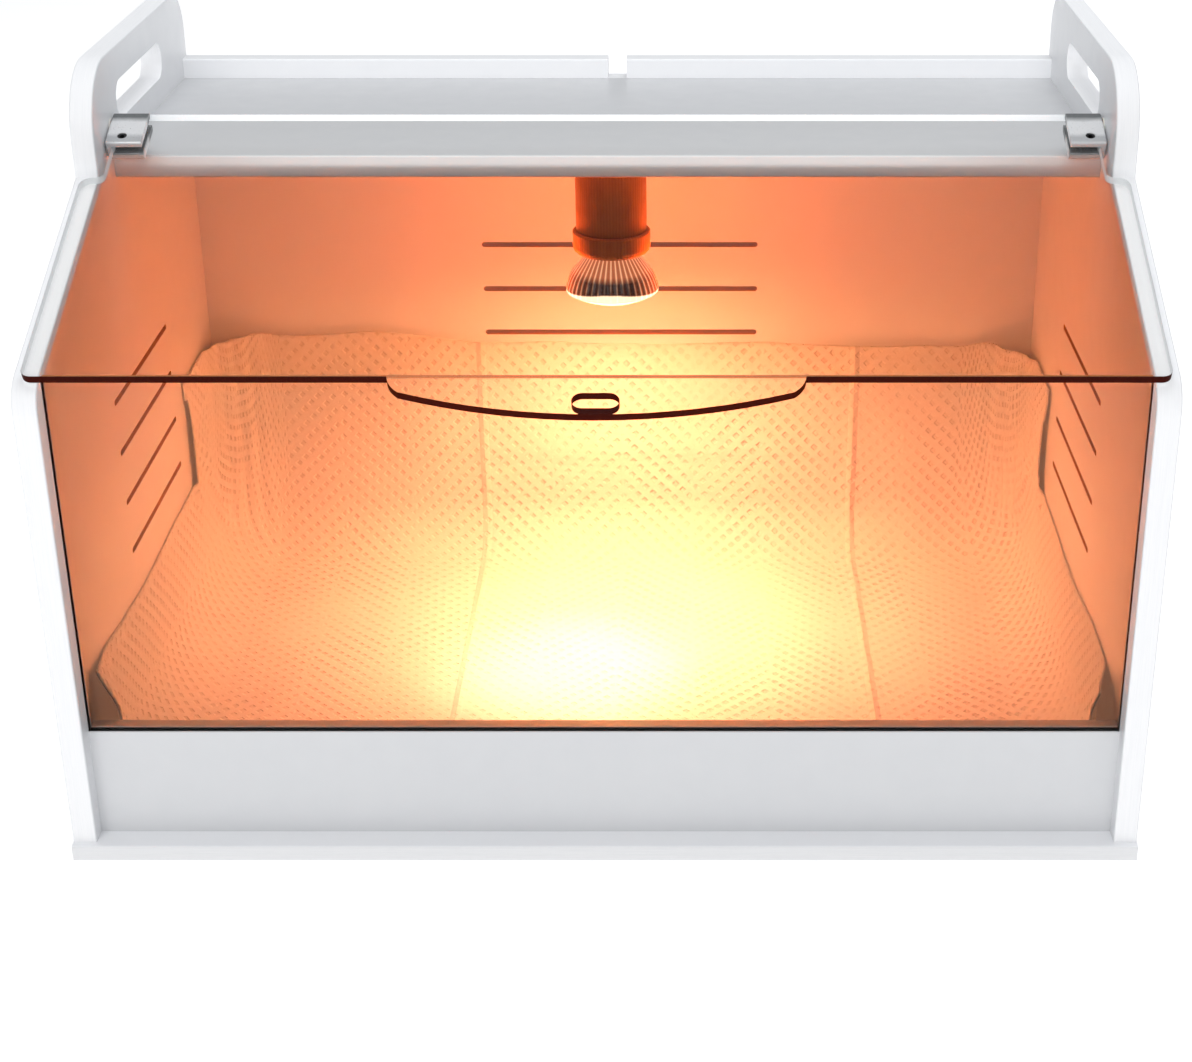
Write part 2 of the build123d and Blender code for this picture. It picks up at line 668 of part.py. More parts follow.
def bulb_lens():
    """Domed front glass that closes the reflector."""
    radius = (RIM_RADIUS**2 + LENS_DROP**2) / (2 * LENS_DROP)
    centre = RIM_Z - LENS_DROP + radius
    inner = radius - GLASS - LENS_EXTRA
    flat = RIM_RADIUS - GLASS
    mid = RIM_RADIUS / 2
    apex = (0, 0, RIM_Z - LENS_DROP)
    inner_apex = (0, 0, centre - inner)
    edge = (RIM_RADIUS, 0, RIM_Z)
    seat = (flat, 0, RIM_Z)
    inner_edge = (flat, 0, centre - (inner**2 - flat**2) ** 0.5)
    outer_mid = (mid, 0, centre - (radius**2 - mid**2) ** 0.5)
    inner_mid = (mid, 0, centre - (inner**2 - mid**2) ** 0.5)
    outline = [
        ThreePointArc(apex, outer_mid, edge),
        Line(edge, seat),
        Line(seat, inner_edge),
        ThreePointArc(inner_edge, inner_mid, inner_apex),
        Line(inner_apex, apex),
    ]
    return Pos(0, LAMP_Y, 0) * revolve(make_face(outline), Axis.Z, 360)


def bulb_cap():
    """Aluminium E27 cap with rounded thread rings."""
    skirt = CAP_ROOT_RADIUS + CAP_SKIRT
    flank = CAP_CREST_RADIUS - THREAD_FLANK
    start = CAP_BOTTOM_Z + CAP_SKIRT_HEIGHT
    outer = [(skirt, CAP_BOTTOM_Z), (skirt, start - CAP_SHOULDER), (CAP_ROOT_RADIUS, start)]
    for turn in range(THREAD_TURNS):
        base = start + turn * THREAD_PITCH
        outer.append((flank, base + THREAD_PITCH * 0.3))
        outer.append((CAP_CREST_RADIUS, base + THREAD_PITCH * 0.5))
        outer.append((flank, base + THREAD_PITCH * 0.7))
        outer.append((CAP_ROOT_RADIUS, base + THREAD_PITCH))
    outer.append((CAP_ROOT_RADIUS - CAP_SHOULDER, CAP_TOP_Z))
    inner = [(r - CAP_WALL, z) for r, z in reversed(outer)]
    return turned(outer + inner, y=LAMP_Y)


def cap_insulator():
    """Black glass cone between the cap and its tip."""
    cone = [(radius, CAP_TOP_Z + up) for radius, up in INSULATOR]
    return turned([(0, CAP_TOP_Z), *cone, (0, CAP_TOP_Z + INSULATOR_HEIGHT)], y=LAMP_Y)


def contact_tip():
    """Soldered tip that meets the centre contact."""
    low = CAP_TOP_Z + INSULATOR_HEIGHT
    edge = [(TIP_RADIUS, low), (TIP_RADIUS, low + TIP_EDGE), (TIP_CROWN, TIP_Z)]
    return turned([(0, low), *edge, (0, TIP_Z)], y=LAMP_Y)


def bulb_stem():
    """Glass mount inside the cap that carries the lead wires."""
    return turned([(0, STEM[0][1]), *STEM, (0, STEM[-1][1])], y=LAMP_Y)


def lead_wires():
    """Two wires from the stem to the filament."""
    top = STEM[0][1]
    return [tube_z(x, LAMP_Y, LEAD_BOTTOM_Z, top, LEAD_RADIUS) for x in (-LEAD_X, LEAD_X)]


def filament():
    """Coiled filament, modelled as its outer tube between the lead wires."""
    half = LEAD_X - LEAD_RADIUS
    return rod_x(-half, half, LAMP_Y, LEAD_BOTTOM_Z + LEAD_RADIUS, FILAMENT_RADIUS)


# ---- Writing the parts ----
def save(name, shapes):
    """Write one node; a list becomes one group of separate solids."""
    shape = Compound(children=shapes) if isinstance(shapes, list) else shapes
    shape.label = name
    export_step(shape, f"parts/{name}.step")


def main():
    os.makedirs("parts", exist_ok=True)
    base_cut, base_group = base_screws()
    dowels = panel_dowels()
    lamp_cut, lamp_screws = mounting_screws()
    save("base_board", base_board(base_cut))
    save("left_side_panel", side_panel(-1, base_cut + dowels))
    save("right_side_panel", side_panel(1, base_cut + dowels))
    save("back_panel", back_panel(base_cut + dowels))
    save("top_board", top_board(dowels + lamp_cut))
    save("front_board", front_board(base_cut + dowels))
    save("front_window", front_window())
    save("floor_liner", floor_liner())
    save("base_screws", base_group)
    save("panel_dowels", dowels)
    save("lid", lid())
    for word, side in (("left", -1), ("right", 1)):
        save(f"{word}_hinge_clamp", hinge_clamp(side))
        save(f"{word}_hinge_pads", hinge_pads(side))
        save(f"{word}_clamp_screw", clamp_screw(side))
        save(f"{word}_hinge_pin", hinge_pin(side))
        save(f"{word}_pivot_bush", pivot_bush(side))
    fixings = core_screws()
    save("cord_grommet", cord_grommet())
    save("holder_cover", holder_cover())
    save("holder_ring", holder_ring())
    save("holder_base", holder_base() - fixings - lamp_cut)
    save("socket_core", socket_core() - fixings - centre_contact())
    save("screw_shell", screw_shell())
    save("centre_contact", centre_contact())
    save("terminal_blocks", terminal_blocks())
    save("terminal_screws", terminal_screws())
    save("core_screws", fixings)
    save("mounting_screws", lamp_screws)
    save("bulb_reflector", bulb_reflector())
    save("bulb_lens", bulb_lens())
    save("bulb_cap", bulb_cap())
    save("cap_insulator", cap_insulator())
    save("contact_tip", contact_tip())
    save("bulb_stem", bulb_stem())
    save("lead_wires", lead_wires())
    save("filament", filament())
    y, z = pin_axis()
    print(f"hinge axis Y {y:.3f} Z {z:.3f}")


main()
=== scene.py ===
import bmesh
import bpy
import json
import math
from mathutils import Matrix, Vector, noise

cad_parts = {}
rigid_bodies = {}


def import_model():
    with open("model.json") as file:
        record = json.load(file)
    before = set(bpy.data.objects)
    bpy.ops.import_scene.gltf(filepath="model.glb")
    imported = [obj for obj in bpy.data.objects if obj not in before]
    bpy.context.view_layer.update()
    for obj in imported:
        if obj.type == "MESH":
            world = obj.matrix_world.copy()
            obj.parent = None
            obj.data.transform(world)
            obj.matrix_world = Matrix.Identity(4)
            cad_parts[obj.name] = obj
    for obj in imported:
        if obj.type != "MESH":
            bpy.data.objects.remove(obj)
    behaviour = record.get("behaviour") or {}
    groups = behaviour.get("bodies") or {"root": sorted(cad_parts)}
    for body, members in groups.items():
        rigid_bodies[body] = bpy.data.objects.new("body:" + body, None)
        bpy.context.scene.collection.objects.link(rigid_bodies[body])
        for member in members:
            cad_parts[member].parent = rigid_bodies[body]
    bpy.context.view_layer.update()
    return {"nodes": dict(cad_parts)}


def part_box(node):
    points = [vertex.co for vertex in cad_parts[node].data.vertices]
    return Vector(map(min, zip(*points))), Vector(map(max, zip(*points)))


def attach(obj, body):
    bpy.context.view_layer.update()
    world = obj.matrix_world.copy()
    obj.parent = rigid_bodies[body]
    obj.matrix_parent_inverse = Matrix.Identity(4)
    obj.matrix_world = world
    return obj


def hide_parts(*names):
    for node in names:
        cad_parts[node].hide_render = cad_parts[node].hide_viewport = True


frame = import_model()
nodes = frame["nodes"]
SLOPE = math.radians(22.0)       # of the closed lid
RIBS = 44                        # round the bulb's skirt
FLUTES = 72                      # round the lampholder
FOLD_X = (-0.088, 0.147)         # creases pressed into the floor cloth
LAMP_Y = (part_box("bulb_cap")[0].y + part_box("bulb_cap")[1].y) / 2


# ---------------------------------------------------------------- node helpers
class Tree:
    """A material's node tree, with short calls to add and link nodes."""

    def __init__(self, name):
        self.mat = bpy.data.materials.new(name)
        self.mat.use_nodes = True
        self.mat.cycles.emission_sampling = "NONE"
        self.tree = self.mat.node_tree
        self.tree.nodes.clear()
        self.out = self.tree.nodes.new("ShaderNodeOutputMaterial")

    def add(self, kind, values=None, **props):
        n = self.tree.nodes.new("ShaderNode" + kind)
        for key, value in props.items():
            setattr(n, key, value)
        for key, value in (values or {}).items():
            self.put(n.inputs[key], value)
        return n

    def put(self, socket, value):
        if isinstance(value, bpy.types.NodeSocket):
            self.tree.links.new(value, socket)
        elif isinstance(value, tuple) and len(value) == 3 and socket.type == "RGBA":
            socket.default_value = (*value, 1.0)
        else:
            socket.default_value = value

    def math(self, operation, a, b=None, c=None, clamp=False):
        n = self.add("Math", operation=operation, use_clamp=clamp)
        for socket, value in zip(n.inputs, (a, b, c)):
            if value is not None:
                self.put(socket, value)
        return n.outputs[0]

    def mix(self, fac, a, b):
        n = self.add("Mix", data_type="RGBA")
        self.put(n.inputs[0], fac)
        self.put(n.inputs[6], a)
        self.put(n.inputs[7], b)
        return n.outputs[2]

    def span(self, value, low, high, out_low=0.0, out_high=1.0):
        n = self.add("MapRange", {"Value": value, "From Min": low, "From Max": high,
                                  "To Min": out_low, "To Max": out_high})
        return n.outputs[0]

    def coords(self, which="Object"):
        return self.add("TexCoord").outputs[which]

    def xyz(self, vector):
        return self.add("SeparateXYZ", {"Vector": vector}).outputs

    def stretched(self, vector, scale):
        return self.add("Mapping", {"Vector": vector, "Scale": scale}).outputs[0]

    def noise(self, vector, scale, detail=2.0, rough=0.5):
        return self.add("TexNoise", {"Vector": vector, "Scale": scale, "Detail": detail,
                                     "Roughness": rough}).outputs[0]

    def bump(self, height, strength, distance, normal=None):
        n = self.add("Bump", {"Height": height, "Strength": strength, "Distance": distance})
        if normal is not None:
            self.put(n.inputs["Normal"], normal)
        return n.outputs[0]

    def principled(self, **values):
        return self.add("BsdfPrincipled", {k.replace("_", " "): v for k, v in values.items()})

    def show(self, shader):
        self.tree.links.new(shader, self.out.inputs["Surface"])
        return self.mat


def paint(names, mat):
    """Give CAD nodes a material."""
    for name in names.split():
        slots = nodes[name].data.materials
        slots.clear()
        slots.append(mat)


# ---------------------------------------------------------------- materials
def board_finish(name, axis, pale, cut=0.95, slots=None):
    """Satin white board; the two whiteness values set its faces and its sawn edges, each tuned per board as
    painted light and shade.

    slots holds the low and high corners of the vented area, where the cut faces are painted warm brown as
    painted shade and lamp glow inside the slots.
    """
    t = Tree(name)
    p = t.coords()
    side = t.math("ABSOLUTE", t.xyz(t.coords("Normal"))[axis])
    edge = t.span(side, 0.75, 0.35)
    broad = t.noise(p, 9.0, 3.0)
    cloud = t.noise(p, 70.0, 3.0)
    pores = t.add("TexVoronoi", {"Vector": p, "Scale": 650.0}).outputs["Distance"]
    speck = t.span(pores, 0.05, 0.16)
    skin = t.mix(broad, (0.95 * pale, 0.96 * pale, 0.985 * pale), (pale, 1.005 * pale, 1.02 * pale))
    skin = t.mix(t.span(cloud, 0.30, 0.75, 0.0, 0.25), skin, (0.90 * pale, 0.915 * pale, 0.945 * pale))
    scale = [14.0, 14.0, 14.0]
    scale[axis] = 900.0
    saw = t.noise(t.stretched(p, tuple(scale)), 3.0, 3.0, 0.65)
    core = t.mix(t.span(saw, 0.35, 0.70), (cut, cut, 1.01 * cut), (0.95 * cut, 0.955 * cut, 0.97 * cut))
    core = t.mix(t.span(speck, 0.0, 1.0, 0.18, 0.0), core, (0.82 * cut, 0.83 * cut, 0.85 * cut))
    if slots:
        places = t.xyz(p)
        inside = 1.0
        for k in range(3):
            if k != axis:
                low, high = slots[0][k], slots[1][k]
                inside = t.math("MULTIPLY", inside, t.math("GREATER_THAN", places[k], low))
                inside = t.math("MULTIPLY", inside, t.math("LESS_THAN", places[k], high))
        # painted shade and warm lamp light on the slot walls
        slot_painted_shade = t.mix(saw, (0.50, 0.22, 0.070), (0.64, 0.32, 0.12))
        core = t.mix(inside, core, slot_painted_shade)
    colour = t.mix(edge, skin, core)
    rough = t.span(cloud, 0.25, 0.75, 0.34, 0.46)
    rough = t.math("ADD", rough, t.math("MULTIPLY", edge, 0.16))
    peel = t.noise(p, 420.0, 2.0)
    relief = t.bump(peel, 0.10, 0.0004)
    marks = t.math("MULTIPLY", t.math("MULTIPLY", saw, speck), edge)
    relief = t.bump(marks, 0.25, 0.0004, relief)
    b = t.principled(Base_Color=colour, Roughness=rough, Normal=relief, IOR=1.48,
                     Coat_Weight=0.12, Coat_Roughness=0.25)
    return t.show(b.outputs[0])


def clear_pane(name, normal, edge_dark, edge_pale, frost_and_glow_y=None):
    """Clear acrylic plate: polished faces, and sawn edges painted dark as painted shade and warm lamp light
    seen in them.

    The last argument, if given, holds the Y where the edges turn pale with frosting and a faint painted
    glow, and the Y where the rear edge's painted highlight starts.
    """
    t = Tree(name)
    p = t.coords()
    along = t.add("VectorMath", {0: t.coords("Normal"), 1: normal}, operation="DOT_PRODUCT")
    edge = t.span(t.math("ABSOLUTE", along.outputs["Value"]), 0.85, 0.60)
    lines = t.noise(p, 1400.0, 2.0)
    haze = t.span(t.noise(p, 26.0, 3.0), 0.35, 0.80, 0.004, 0.030)
    shine = t.add("BsdfGlossy", {"Color": (1.0, 1.0, 1.0), "Roughness": haze,
                                 "Normal": t.bump(t.noise(p, 30.0, 1.0), 0.02, 0.0005)})
    clear = t.add("BsdfTransparent", {"Color": (0.985, 0.983, 0.978)})
    glass = t.add("MixShader", {0: 0.010, 1: clear.outputs[0], 2: shine.outputs[0]})
    # painted shade and warm lamp light on the sawn edges
    edge_painted_shade = t.mix(t.span(lines, 0.3, 0.7), edge_dark, edge_pale)
    sawn = t.principled(Base_Color=edge_painted_shade, Roughness=0.45, Specular_IOR_Level=0.03,
                        Normal=t.bump(lines, 0.3, 0.0003)).outputs[0]
    if frost_and_glow_y:
        side_y, rear_y = frost_and_glow_y
        behind = t.xyz(p)[1]
        # pale edge with frosting and a painted glow, strong at the rear edge as a painted highlight
        frost_and_painted_glow = t.principled(Base_Color=t.mix(lines, (0.90, 0.92, 0.93), (0.78, 0.81, 0.83)), Roughness=0.5,
                             Emission_Color=(0.9, 0.95, 1.0),
                             Emission_Strength=t.span(behind, rear_y - 0.001, rear_y, 0.04, 0.38))
        start = t.span(behind, side_y - 0.001, side_y)
        sawn = t.add("MixShader", {0: start, 1: sawn, 2: frost_and_painted_glow.outputs[0]}).outputs[0]
    plate = t.add("MixShader", {0: edge, 1: glass.outputs[0], 2: sawn})
    return t.show(plate.outputs[0])


def metal(name, colour, shade, rough, grain=(60.0, 900.0, 900.0), depth=0.12):
    """Metal with drawn scratches, stains and an uneven polish."""
    t = Tree(name)
    p = t.coords()
    scratch = t.noise(t.stretched(p, grain), 3.0, 4.0, 0.6)
    stain = t.noise(p, 130.0, 4.0, 0.6)
    tone = t.mix(t.span(stain, 0.35, 0.75), colour, shade)
    tone = t.mix(t.span(scratch, 0.55, 0.75, 0.0, 0.35), tone, shade)
    r = t.math("ADD", t.span(scratch, 0.3, 0.7, rough - 0.06, rough + 0.08),
               t.span(stain, 0.3, 0.8, 0.0, 0.08))
    b = t.principled(Base_Color=tone, Metallic=1.0, Roughness=r, Normal=t.bump(scratch, depth, 0.0002))
    return t.show(b.outputs[0])


def clamp_finish():
    """Polished clamp with a painted reflection: a painted highlight along its top, painted dark towards the
    hinge, grey at the front.
    """
    t = Tree("polished_clamp")
    p = t.coords()
    lo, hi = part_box("left_hinge_clamp")
    brushed = t.noise(t.stretched(p, (900.0, 60.0, 900.0)), 3.0, 4.0, 0.6)
    stain = t.noise(p, 130.0, 4.0, 0.6)
    along = t.math("ADD", t.xyz(p)[1], t.math("MULTIPLY", t.math("SUBTRACT", stain, 0.5), 0.002))
    # painted reflection bands: dark at the rear, a painted highlight in the middle, grey at the front
    painted_reflection_rear = t.span(along, hi.y - 0.0075, hi.y - 0.0115)
    painted_reflection_front = t.span(along, lo.y + 0.0065, lo.y + 0.0035)
    tone = t.mix(painted_reflection_rear, (0.20, 0.21, 0.215), t.mix(painted_reflection_front, (0.95, 0.955, 0.96), (0.60, 0.61, 0.62)))
    tone = t.mix(t.span(brushed, 0.55, 0.75, 0.0, 0.3), tone, (0.45, 0.46, 0.47))
    b = t.principled(Base_Color=tone, Metallic=0.55, Roughness=t.span(brushed, 0.3, 0.7, 0.26, 0.40),
                     Normal=t.bump(brushed, 0.12, 0.0002))
    return t.show(b.outputs[0])


def moulded(name, colour, shade, rough, bump=0.15, scale=900.0, **more):
    """Moulded plastic, rubber or ceramic with a fine texture and mild mottling."""
    t = Tree(name)
    p = t.coords()
    mottle = t.noise(p, 95.0, 4.0, 0.6)
    grain = t.noise(p, scale, 2.0)
    tone = t.mix(t.span(mottle, 0.3, 0.75), colour, shade)
    r = t.span(mottle, 0.3, 0.7, rough - 0.05, rough + 0.07)
    b = t.principled(Base_Color=tone, Roughness=r, Normal=t.bump(grain, bump, 0.0003), **more)
    return t.show(b.outputs[0])


def wood(name):
    """Plain wood with a long grain and dark flecks."""
    t = Tree(name)
    p = t.coords()
    grain = t.noise(t.stretched(p, (25.0, 260.0, 260.0)), 2.5, 5.0, 0.65)
    fleck = t.noise(t.stretched(p, (260.0, 900.0, 900.0)), 1.5, 2.0)
    tone = t.mix(t.span(grain, 0.3, 0.7), (0.62, 0.43, 0.25), (0.47, 0.30, 0.16))
    tone = t.mix(t.span(fleck, 0.62, 0.7, 0.0, 0.5), tone, (0.30, 0.17, 0.08))
    b = t.principled(Base_Color=tone, Roughness=t.span(grain, 0.3, 0.7, 0.5, 0.68),
                     Normal=t.bump(grain, 0.3, 0.0003))
    return t.show(b.outputs[0])


def lampholder_finish():
    """Heat-toned moulded plastic with fine upright flutes, painted shade in their grooves, and a dusty
    shine.
    """
    t = Tree("lampholder_plastic")
    p = t.coords()
    x, y = t.xyz(p)[:2]
    turn = t.math("ARCTAN2", t.math("SUBTRACT", y, LAMP_Y), x)
    flute = t.math("ADD", t.math("MULTIPLY", t.math("COSINE", t.math("MULTIPLY", turn, FLUTES)), 0.5), 0.5)
    mottle = t.noise(p, 80.0, 4.0, 0.6)
    lines = t.noise(t.stretched(p, (900.0, 900.0, 18.0)), 1.0, 3.0)
    grain = t.noise(p, 1100.0, 2.0)
    tone = t.mix(t.span(mottle, 0.3, 0.75), (0.46, 0.225, 0.060), (0.37, 0.17, 0.045))
    tone = t.mix(t.span(lines, 0.45, 0.75, 0.0, 0.3), tone, (0.27, 0.12, 0.035))
    # painted shade in the grooves of the flutes
    tone = t.mix(t.math("MULTIPLY", flute, 0.30), tone, (0.24, 0.10, 0.025))
    relief = t.bump(grain, 0.12, 0.0003, t.bump(t.math("SUBTRACT", 1.0, flute), 0.30, 0.0004))
    b = t.principled(Base_Color=tone, Roughness=t.span(mottle, 0.3, 0.7, 0.36, 0.50), Normal=relief,
                     Specular_IOR_Level=0.15)
    return t.show(b.outputs[0])


def liner_finish():
    """White floor cloth with an embossed zigzag of short dashes, painted shade in its dents and creases,
    and a painted glow where it faces the walls.
    """
    zigzag = 0.045
    dash_pitch = 0.0105
    row_pitch = 0.0088
    t = Tree("liner_cloth")
    flat = t.add("UVMap", uv_map="flat").outputs[0]
    x, y = t.xyz(flat)[:2]
    band = t.math("SINE", t.math("MULTIPLY", x, math.pi / zigzag))
    turn = t.math("SIGN", band)
    run = t.math("MULTIPLY", x, turn)
    along = t.math("MULTIPLY", t.math("ADD", run, y), 2 * math.pi / dash_pitch)
    across = t.math("MULTIPLY", t.math("SUBTRACT", run, y), 2 * math.pi / row_pitch)
    dash = t.span(t.math("SINE", along), 0.10, 0.75)
    gap = t.span(t.math("SINE", across), -0.35, 0.35)
    seam = t.span(t.math("ABSOLUTE", band), 0.0, 0.16)
    dent = t.math("MULTIPLY", t.math("MULTIPLY", dash, gap), seam)
    patch = t.span(t.noise(flat, 14.0, 3.0), 0.35, 0.62)
    dent = t.math("MULTIPLY", dent, t.math("ADD", t.math("MULTIPLY", patch, 0.75), 0.25))
    folds = [t.span(t.math("ABSOLUTE", t.math("SUBTRACT", x, fold)), 0.0030, 0.0) for fold in FOLD_X]
    crease = t.math("MAXIMUM", folds[0], folds[1])
    fibre = t.noise(t.stretched(flat, (1.0, 1.6, 1.0)), 1500.0, 4.0, 0.7)
    felt = t.noise(flat, 240.0, 4.0, 0.6)
    tone = t.mix(t.span(felt, 0.3, 0.7), (0.86, 0.85, 0.82), (0.80, 0.79, 0.755))
    # painted shade in the pressed dents
    tone = t.mix(t.math("MULTIPLY", dent, 0.30), tone, (0.52, 0.47, 0.40))
    # painted shade along the creases
    tone = t.mix(t.math("MULTIPLY", crease, 0.18), tone, (0.60, 0.55, 0.48))
    pressed = t.bump(t.math("SUBTRACT", 1.0, dent), 0.75, 0.0012, t.bump(crease, 0.8, 0.0015))
    relief = t.bump(fibre, 0.30, 0.0004, pressed)
    # painted glow on the cloth's faces turned toward the walls, which lights the shaded gap behind the
    # cloth
    place, facing = t.xyz(t.coords()), t.xyz(t.coords("Normal"))
    sideways = t.math("MULTIPLY", facing[0], t.math("SIGN", place[0]))
    outward = t.span(t.math("MAXIMUM", sideways, facing[1]), 0.5, 0.8)
    lit = t.math("MULTIPLY", outward, t.span(felt, 0.3, 0.7, 0.13, 0.09))
    b = t.principled(Base_Color=tone, Roughness=t.span(felt, 0.3, 0.7, 0.75, 0.95), Normal=relief,
                     Emission_Color=(1.0, 0.34, 0.12), Emission_Strength=lit,
                     Sheen_Weight=0.15, Sheen_Roughness=0.5)
    return t.show(b.outputs[0])


def reflector_finish(axis_y):
    """Pressed glass with a metallised inside: painted shade in front, warm lamp light through its ribs and
    shoulder, and painted glints on the rib crests.
    """
    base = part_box("bulb_reflector")[0].z
    lip_top = base + 0.0016
    shoulder_start = base + 0.0095
    t = Tree("pressed_reflector")
    p = t.coords()
    x, y, z = t.xyz(p)
    turn = t.math("ARCTAN2", t.math("SUBTRACT", y, axis_y), x)
    rib = t.math("ADD", t.math("MULTIPLY", t.math("COSINE", t.math("MULTIPLY", turn, RIBS)), 0.5), 0.5)
    patch = t.noise(p, 160.0, 2.0)
    shoulder = t.span(z, shoulder_start, shoulder_start + 0.0035)
    # painted shade on the front of the skirt
    front = t.math("MULTIPLY", t.span(t.math("ABSOLUTE", x), 0.020, 0.012), t.math("LESS_THAN", y, axis_y))
    streak = t.math("POWER", rib, 3.0)
    high = t.math("ADD", 0.42, t.math("MULTIPLY", streak, 0.62))
    skirt = t.math("MULTIPLY", t.math("SUBTRACT", 1.0, t.math("MULTIPLY", front, 0.93)),
                   t.math("ADD", 0.16, t.math("MULTIPLY", streak, 0.62)))
    # painted glints on the rib crests
    painted_glints = t.math("MULTIPLY", t.math("POWER", rib, 9.0), t.span(patch, 0.4, 0.65, 0.02, 0.30))
    skirt = t.math("ADD", skirt, painted_glints)
    glow = t.math("ADD", t.math("MULTIPLY", shoulder, high),
                  t.math("MULTIPLY", t.math("SUBTRACT", 1.0, shoulder), skirt))
    middle = t.span(t.math("ABSOLUTE", x), 0.025, 0.004)
    lip = t.span(t.math("SUBTRACT", z, t.math("MULTIPLY", middle, 0.0030)), lip_top, lip_top - 0.0008)
    glow = t.math("ADD", glow, t.math("MULTIPLY", lip, 1.3))
    dark = t.mix(patch, (0.035, 0.014, 0.008), (0.10, 0.040, 0.022))
    warm = t.mix(streak, (1.0, 0.26, 0.10), (1.0, 0.48, 0.26))
    body = t.principled(Base_Color=dark, Roughness=0.16, Specular_IOR_Level=0.25,
                        Emission_Color=t.mix(lip, warm, (1.0, 0.86, 0.55)),
                        Emission_Strength=glow, Normal=t.bump(patch, 0.05, 0.0005))
    return t.show(body.outputs[0])


def lens_finish(axis_y):
    """Lit front glass: hottest at the centre, with pressed prisms."""
    t = Tree("lit_front_glass")
    p = t.coords()
    x, y = t.xyz(p)[:2]
    level = t.add("CombineXYZ", {0: x, 1: t.math("SUBTRACT", y, axis_y)}).outputs[0]
    far = t.add("VectorMath", {0: level}, operation="LENGTH").outputs["Value"]
    cells = t.add("TexVoronoi", {"Vector": p, "Scale": 420.0}).outputs["Distance"]
    heat = t.span(far, 0.026, 0.004, 2.6, 9.0)
    heat = t.math("MULTIPLY", heat, t.span(cells, 0.0, 0.6, 1.1, 0.8))
    b = t.principled(Base_Color=t.mix(cells, (0.95, 0.9, 0.82), (0.85, 0.8, 0.7)), Roughness=0.12,
                     Emission_Color=(1.0, 0.72, 0.38), Emission_Strength=heat,
                     Normal=t.bump(cells, 0.5, 0.0006))
    return t.show(b.outputs[0])


def glass_finish(name, colour):
    """Clear glass with fine seeds."""
    t = Tree(name)
    p = t.coords()
    seed = t.noise(p, 320.0, 3.0)
    b = t.principled(Base_Color=t.mix(seed, colour, (0.92, 0.92, 0.9)),
                     Roughness=t.span(seed, 0.3, 0.7, 0.02, 0.08), Transmission_Weight=1.0, IOR=1.5,
                     Normal=t.bump(seed, 0.1, 0.0003))
    return t.show(b.outputs[0])


def floor_finish():
    """White studio floor that glows a little, so that it renders as plain white."""
    t = Tree("studio_floor")
    p = t.coords()
    soft = t.noise(p, 1.3, 2.0)
    fine = t.noise(p, 260.0, 2.0)
    b = t.principled(Base_Color=t.mix(soft, (0.90, 0.90, 0.905), (0.93, 0.93, 0.93)), Roughness=0.65,
                     Emission_Color=(1.0, 1.0, 1.0), Emission_Strength=0.44,
                     Normal=t.bump(fine, 0.03, 0.0005))
    return t.show(b.outputs[0])


# The whiteness values differ from board to board as painted light and shade: every board is the same white.
paint("left_side_panel right_side_panel",
      board_finish("board_side", 0, 0.82, 0.96, ((0, -0.075, 0.09), (0, 0.085, 0.21))))
paint("back_panel", board_finish("board_rear", 1, 0.92, 0.84, ((-0.11, 0, 0.14), (0.11, 0, 0.23))))
paint("front_board", board_finish("board_front", 1, 0.71))
paint("base_board", board_finish("board_base", 2, 0.97, 0.80))
paint("top_board", board_finish("board_top", 2, 0.61, 0.95))
# where the lid's edges turn pale with a painted glow, and where the rear edge's painted highlight starts
frost_and_glow_start = (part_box("front_board")[0].y - 0.002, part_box("lid")[1].y - 0.0025)
paint("lid", clear_pane("lid_acrylic", (0.0, -math.sin(SLOPE), math.cos(SLOPE)),
                        (0.026, 0.0016, 0.0004), (0.055, 0.005, 0.001), frost_and_glow_start))
paint("front_window",
      clear_pane("window_acrylic", (0.0, 1.0, 0.0), (0.42, 0.14, 0.055), (0.62, 0.26, 0.11)))
paint("base_screws mounting_screws core_screws",
      metal("zinc_plate", (0.72, 0.73, 0.74), (0.50, 0.51, 0.50), 0.32))
paint("panel_dowels", wood("beech"))
paint("left_hinge_clamp right_hinge_clamp", clamp_finish())
paint("left_clamp_screw right_clamp_screw terminal_screws",
      metal("oxide_steel", (0.055, 0.055, 0.06), (0.12, 0.12, 0.12), 0.42))
paint("left_hinge_pin right_hinge_pin",
      metal("bright_steel", (0.78, 0.78, 0.79), (0.58, 0.58, 0.6), 0.18))
paint("left_hinge_pads right_hinge_pads",
      moulded("clear_rubber", (0.62, 0.64, 0.66), (0.50, 0.52, 0.54), 0.42, Transmission_Weight=0.5))
paint("left_pivot_bush right_pivot_bush",
      moulded("nylon", (0.78, 0.77, 0.72), (0.70, 0.69, 0.63), 0.40,
              Subsurface_Weight=0.15, Subsurface_Scale=0.002))
paint("cord_grommet", moulded("white_rubber", (0.74, 0.75, 0.77), (0.66, 0.67, 0.69), 0.58))
paint("holder_cover holder_ring holder_base", lampholder_finish())
paint("socket_core",
      moulded("porcelain", (0.86, 0.85, 0.80), (0.78, 0.76, 0.70), 0.20, 0.05, 300.0, Coat_Weight=0.6))
paint("screw_shell centre_contact terminal_blocks",
      metal("brass", (0.78, 0.57, 0.24), (0.58, 0.38, 0.14), 0.26))
paint("bulb_cap",
      metal("cap_aluminium", (0.80, 0.80, 0.80), (0.60, 0.60, 0.59), 0.24, (60.0, 60.0, 1200.0)))
paint("cap_insulator",
      moulded("black_glass", (0.020, 0.020, 0.024), (0.045, 0.040, 0.045), 0.14, 0.04))
paint("contact_tip",
      metal("solder", (0.62, 0.62, 0.62), (0.42, 0.42, 0.43), 0.36, (300.0, 300.0, 300.0), 0.3))
paint("bulb_stem", glass_finish("stem_glass", (0.80, 0.82, 0.78)))
